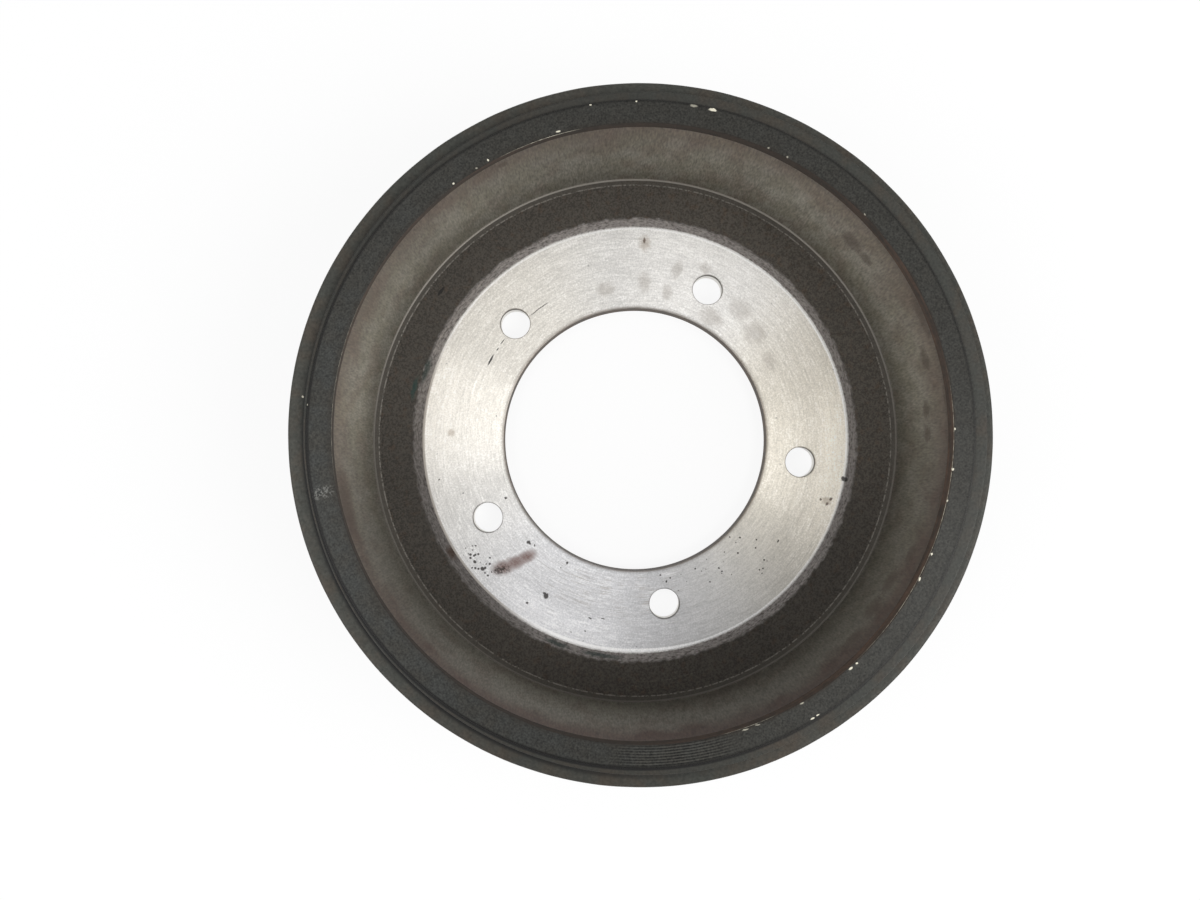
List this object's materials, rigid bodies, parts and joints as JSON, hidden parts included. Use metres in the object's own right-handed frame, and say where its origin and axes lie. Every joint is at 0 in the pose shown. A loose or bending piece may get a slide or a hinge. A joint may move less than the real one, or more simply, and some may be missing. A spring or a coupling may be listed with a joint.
{
  "type": "brake drum",
  "caption": "Cast iron brake drum: a round open shell with a turned friction wall, a large centre bore, stud holes in the web and a stepped rim around the mouth.",
  "frame": {"origin": "centre of the bore in the plane of the wheel seat, the face that the drum rests on", "axes": "+Z along the drum's axis towards its open side; +X from the axis through one stud hole"},
  "size_m": [0.255, 0.255, 0.08],
  "materials": {
    "cast_iron": "as cast outside and on the floor, turned on the seats, lip and friction wall, light rust"
  },
  "bodies": {
    "root": {"brake_drum": "cast_iron"}
  },
  "joints": []
}
